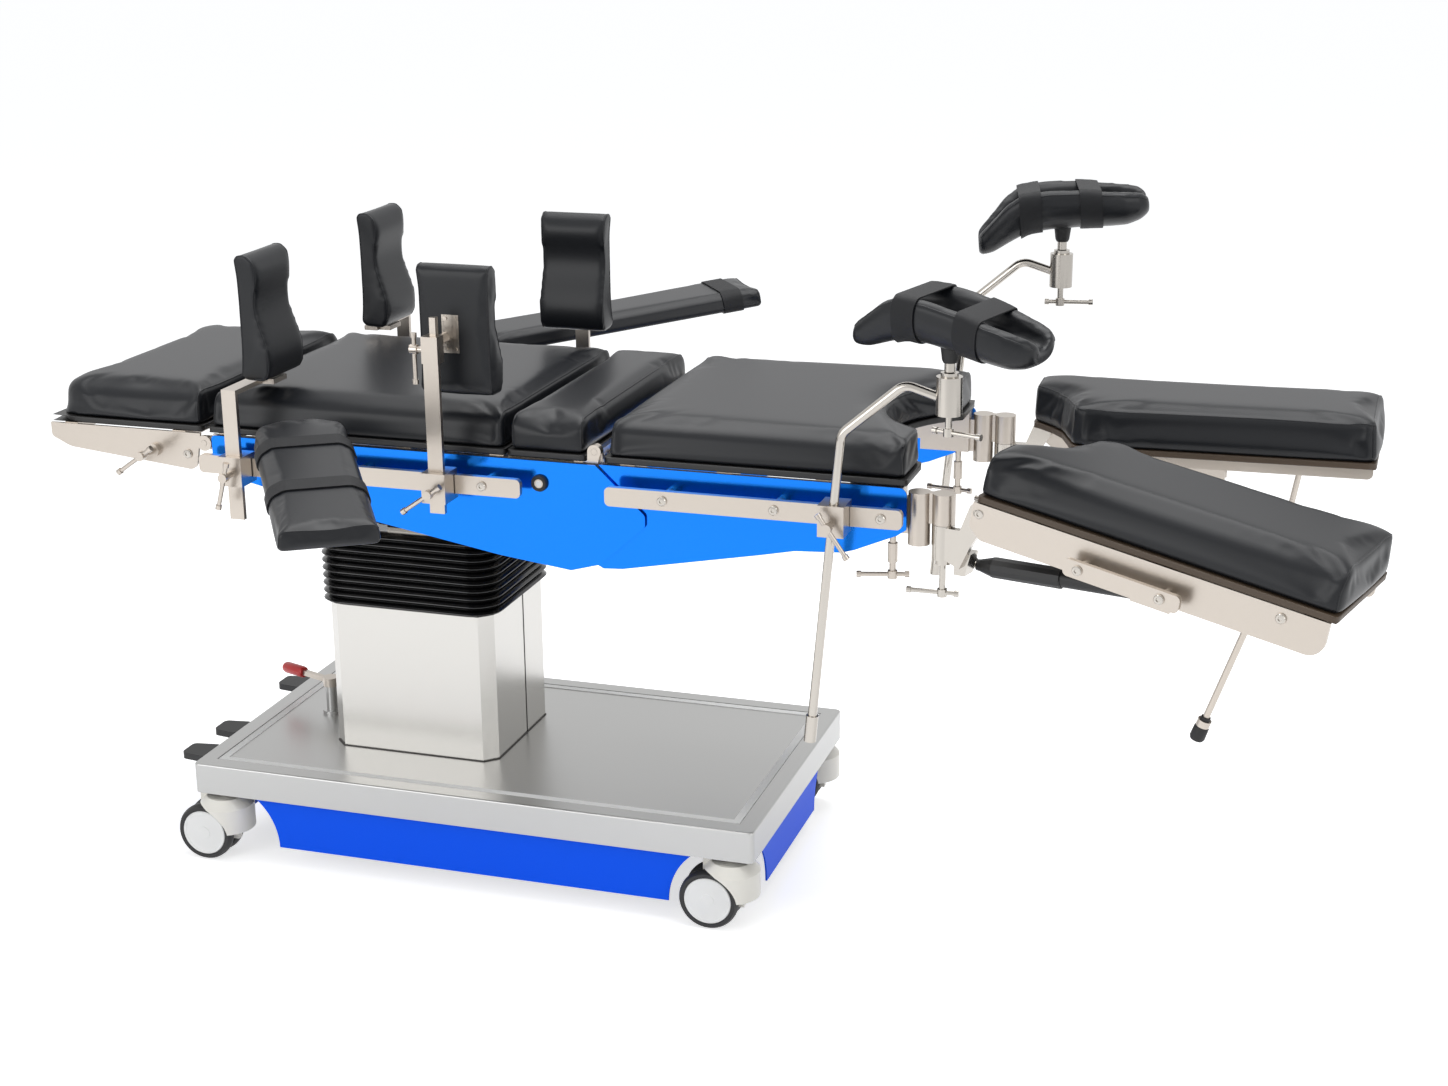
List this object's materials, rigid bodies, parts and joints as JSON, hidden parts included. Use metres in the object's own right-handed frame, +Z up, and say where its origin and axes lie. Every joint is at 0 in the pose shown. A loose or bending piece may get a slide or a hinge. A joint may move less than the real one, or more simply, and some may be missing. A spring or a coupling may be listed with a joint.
{
  "type": "operating table",
  "caption": "Wheeled surgical table: lifting column, tilting sliding top in padded head, back, kidney and seat sections, swinging leg plates and clamped supports.",
  "frame": {"origin": "centre of the bounding box in plan, on the floor under the castors", "axes": "+X from the head end to the leg plates, +Y across the table to its far side in the picture, +Z up"},
  "size_m": [2.1523, 1.4302, 1.1288],
  "materials": {
    "steel": "satin brushed stainless",
    "column_steel": "bright brushed sheet",
    "dark_steel": "grey paint",
    "cover_blue": "metallic azure gloss",
    "skirt_blue": "plain blue gloss",
    "pad_black": "black leatherette",
    "rubber_black": "matte folded rubber",
    "pedal_black": "ribbed black rubber",
    "ivory": "ivory hood",
    "tyre_black": "black tread",
    "grip_red": "steel arm with a red grip"
  },
  "bodies": {
    "base": {"base_cover": "column_steel", "base_chassis": "dark_steel", "base_skirts": "skirt_blue", "column_cover": "column_steel"},
    "brake_pedals": {"brake_pedals": "pedal_black"},
    "steer_pedal": {"steer_pedal": "pedal_black"},
    "pump_lever": {"brake_lever": "grip_red"},
    "mast": {"inner_column": "steel", "bellows": "rubber_black"},
    "gimbal": {"gimbal_cross": "steel"},
    "carriage": {"slide_carriage": "steel"},
    "back": {"back_frame": "steel", "back_side_covers": "cover_blue", "back_rails": "steel", "back_pad": "pad_black", "back_rail_clamps": "steel"},
    "kidney": {"kidney_bridge": "steel", "kidney_pad": "pad_black"},
    "head": {"head_frame": "steel", "head_pad": "pad_black"},
    "seat": {"seat_frame": "steel", "seat_side_covers": "cover_blue", "seat_rails": "steel", "seat_pad": "pad_black", "seat_lock_handles": "steel", "seat_rail_clamps": "steel"},
    "castor_head_near": {"castor_fork_head_near": "ivory"},
    "wheels_head_near": {"castor_wheel_head_near": "tyre_black"},
    "castor_head_far": {"castor_fork_head_far": "ivory"},
    "wheels_head_far": {"castor_wheel_head_far": "tyre_black"},
    "castor_foot_near": {"castor_fork_foot_near": "ivory"},
    "wheels_foot_near": {"castor_wheel_foot_near": "tyre_black"},
    "castor_foot_far": {"castor_fork_foot_far": "ivory"},
    "wheels_foot_far": {"castor_wheel_foot_far": "tyre_black"},
    "leg_knuckle_near": {"leg_knuckle_near": "steel"},
    "leg_near": {"leg_frame_near": "steel", "leg_pad_near": "pad_black"},
    "spring_near": {"gas_spring_near": "steel"},
    "plunger_near": {"gas_rod_near": "steel"},
    "release_near": {"release_lever_near": "steel"},
    "leg_knuckle_far": {"leg_knuckle_far": "steel"},
    "leg_far": {"leg_frame_far": "steel", "leg_pad_far": "pad_black"},
    "spring_far": {"gas_spring_far": "steel"},
    "plunger_far": {"gas_rod_far": "steel"},
    "release_far": {"release_lever_far": "steel"},
    "shoulder_near": {"shoulder_bar_near": "steel", "shoulder_pad_near": "pad_black"},
    "support_near": {"support_post_near": "steel", "support_pad_near": "pad_black"},
    "arm_near": {"arm_board_near": "pad_black"},
    "holder_near": {"holder_rod_near": "steel"},
    "cradle_near": {"leg_cradle_near": "pad_black"},
    "shoulder_far": {"shoulder_bar_far": "steel", "shoulder_pad_far": "pad_black"},
    "support_far": {"support_post_far": "steel", "support_pad_far": "pad_black"},
    "arm_far": {"arm_board_far": "pad_black"},
    "holder_far": {"holder_rod_far": "steel"},
    "cradle_far": {"leg_cradle_far": "pad_black"}
  },
  "joints": [
    {"name": "swivel_head_near", "type": "hinge", "parent": "base", "child": "castor_head_near", "pos_m": [-0.811, -0.25, 0.116], "axis": [0, 0, 1], "continuous": true},
    {"name": "roll_head_near", "type": "hinge", "parent": "castor_head_near", "child": "wheels_head_near", "pos_m": [-0.844, -0.25, 0.05], "axis": [0, 1, 0], "continuous": true},
    {"name": "swivel_head_far", "type": "hinge", "parent": "base", "child": "castor_head_far", "pos_m": [-0.811, 0.25, 0.116], "axis": [0, 0, 1], "continuous": true},
    {"name": "roll_head_far", "type": "hinge", "parent": "castor_head_far", "child": "wheels_head_far", "pos_m": [-0.844, 0.25, 0.05], "axis": [0, 1, 0], "continuous": true},
    {"name": "swivel_foot_near", "type": "hinge", "parent": "base", "child": "castor_foot_near", "pos_m": [0.101, -0.25, 0.116], "axis": [0, 0, 1], "continuous": true},
    {"name": "roll_foot_near", "type": "hinge", "parent": "castor_foot_near", "child": "wheels_foot_near", "pos_m": [0.068, -0.25, 0.05], "axis": [0, 1, 0], "continuous": true},
    {"name": "swivel_foot_far", "type": "hinge", "parent": "base", "child": "castor_foot_far", "pos_m": [0.101, 0.25, 0.116], "axis": [0, 0, 1], "continuous": true},
    {"name": "roll_foot_far", "type": "hinge", "parent": "castor_foot_far", "child": "wheels_foot_far", "pos_m": [0.068, 0.25, 0.05], "axis": [0, 1, 0], "continuous": true},
    {"name": "brake_pedal_turn", "type": "hinge", "parent": "base", "child": "brake_pedals", "pos_m": [-0.82, -0.131, 0.11], "axis": [0, 1, 0], "range_deg": [-8, 8]},
    {"name": "steer_pedal_turn", "type": "hinge", "parent": "base", "child": "steer_pedal", "pos_m": [-0.82, 0.16, 0.11], "axis": [0, 1, 0], "range_deg": [-8, 8]},
    {"name": "pump_lever_turn", "type": "hinge", "parent": "base", "child": "pump_lever", "pos_m": [-0.735, 0.009, 0.2285], "axis": [0, 0, 1], "range_deg": [-30, 30]},
    {"name": "lift", "type": "slide", "parent": "base", "child": "mast", "axis": [0, 0, 1], "range_m": [-0.08, 0.2], "deforming": ["bellows"]},
    {"name": "tilt_length", "type": "hinge", "parent": "mast", "child": "gimbal", "pos_m": [-0.512, 0, 0.63], "axis": [0, 1, 0], "range_deg": [-25, 18]},
    {"name": "tilt_side", "type": "hinge", "parent": "gimbal", "child": "carriage", "pos_m": [-0.512, 0, 0.63], "axis": [1, 0, 0], "range_deg": [-20, 20]},
    {"name": "top_slide", "type": "slide", "parent": "carriage", "child": "back", "axis": [1, 0, 0], "range_m": [-0.3, 0]},
    {"name": "kidney_lift", "type": "slide", "parent": "back", "child": "kidney", "axis": [0, 0, 1], "range_m": [0, 0.11]},
    {"name": "head_turn", "type": "hinge", "parent": "back", "child": "head", "pos_m": [-0.791, 0, 0.745], "axis": [0, 1, 0], "range_deg": [-45, 5]},
    {"name": "seat_turn", "type": "hinge", "parent": "back", "child": "seat", "pos_m": [-0.114, 0, 0.779], "axis": [0, 1, 0], "range_deg": [-25, 20]},
    {"name": "leg_swing_near", "type": "hinge", "parent": "seat", "child": "leg_knuckle_near", "pos_m": [0.433, -0.245, 0.706], "axis": [0, 0, 1], "range_deg": [-45, 14]},
    {"name": "leg_pitch_near", "type": "hinge", "parent": "leg_knuckle_near", "child": "leg_near", "pos_m": [0.49464, -0.26221, 0.737], "axis": [0.2689, 0.9632, 0], "range_deg": [-15, 40]},
    {"name": "spring_turn_near", "type": "hinge", "parent": "leg_near", "child": "spring_near", "pos_m": [0.73753, -0.2968, 0.64448], "axis": [0.2689, 0.9632, 0], "range_deg": [-2.28, 1.17]},
    {"name": "plunger_slide_near", "type": "slide", "parent": "spring_near", "child": "plunger_near", "axis": [-0.963, 0.2689, -0.0161], "range_m": [-0.0721, 0.0283]},
    {"name": "release_turn_near", "type": "hinge", "parent": "leg_near", "child": "release_near", "pos_m": [0.89423, -0.37378, 0.64677], "axis": [0.2689, 0.9632, 0], "range_deg": [-12, 12]},
    {"name": "leg_swing_far", "type": "hinge", "parent": "seat", "child": "leg_knuckle_far", "pos_m": [0.433, 0.245, 0.706], "axis": [0, 0, 1], "range_deg": [0, 60]},
    {"name": "leg_pitch_far", "type": "hinge", "parent": "leg_knuckle_far", "child": "leg_far", "pos_m": [0.497, 0.245, 0.737], "axis": [0, 1, 0], "range_deg": [-8, 50]},
    {"name": "spring_turn_far", "type": "hinge", "parent": "leg_far", "child": "spring_far", "pos_m": [0.75244, 0.213, 0.68723], "axis": [0, 1, 0], "range_deg": [-4.12, 1.08]},
    {"name": "plunger_slide_far", "type": "slide", "parent": "spring_far", "child": "plunger_far", "axis": [-0.9869, 0, -0.161], "range_m": [-0.088, 0.0158]},
    {"name": "release_turn_far", "type": "hinge", "parent": "leg_far", "child": "release_far", "pos_m": [0.92118, 0.245, 0.7187], "axis": [0, 1, 0], "range_deg": [-12, 12]},
    {"name": "shoulder_height_near", "type": "slide", "parent": "back", "child": "shoulder_near", "axis": [0, 0, 1], "range_m": [-0.01, 0.05]},
    {"name": "support_height_near", "type": "slide", "parent": "back", "child": "support_near", "axis": [0, 0, 1], "range_m": [-0.015, 0.04]},
    {"name": "arm_turn_near", "type": "hinge", "parent": "back", "child": "arm_near", "pos_m": [-0.587, -0.32, 0.764], "axis": [0, 0, 1], "range_deg": [-33, 15]},
    {"name": "holder_height_near", "type": "slide", "parent": "seat", "child": "holder_near", "axis": [0.0924, 0, 0.9957], "range_m": [-0.02, 0.1]},
    {"name": "cradle_turn_near", "type": "hinge", "parent": "holder_near", "child": "cradle_near", "pos_m": [0.45312, -0.324, 0.92114], "axis": [0, 0, 1], "range_deg": [-45, 45]},
    {"name": "shoulder_height_far", "type": "slide", "parent": "back", "child": "shoulder_far", "axis": [0, 0, 1], "range_m": [-0.01, 0.05]},
    {"name": "support_height_far", "type": "slide", "parent": "back", "child": "support_far", "axis": [0, 0, 1], "range_m": [-0.015, 0.04]},
    {"name": "arm_turn_far", "type": "hinge", "parent": "back", "child": "arm_far", "pos_m": [-0.587, 0.32, 0.764], "axis": [0, 0, 1], "range_deg": [-6, 50]},
    {"name": "holder_height_far", "type": "slide", "parent": "seat", "child": "holder_far", "axis": [0.0924, 0, 0.9957], "range_m": [-0.1, 0.08]},
    {"name": "cradle_turn_far", "type": "hinge", "parent": "holder_far", "child": "cradle_far", "pos_m": [0.50431, 0.324, 0.98785], "axis": [0, 0, 1], "range_deg": [-45, 45]}
  ],
  "couplings": [
    {"joint": "spring_turn_near", "follows": "leg_pitch_near", "ratio": -0.04442},
    {"joint": "plunger_slide_near", "follows": "leg_pitch_near", "m_per_rad": -0.10036},
    {"joint": "spring_turn_far", "follows": "leg_pitch_far", "ratio": -0.07237},
    {"joint": "plunger_slide_far", "follows": "leg_pitch_far", "m_per_rad": -0.09858}
  ]
}
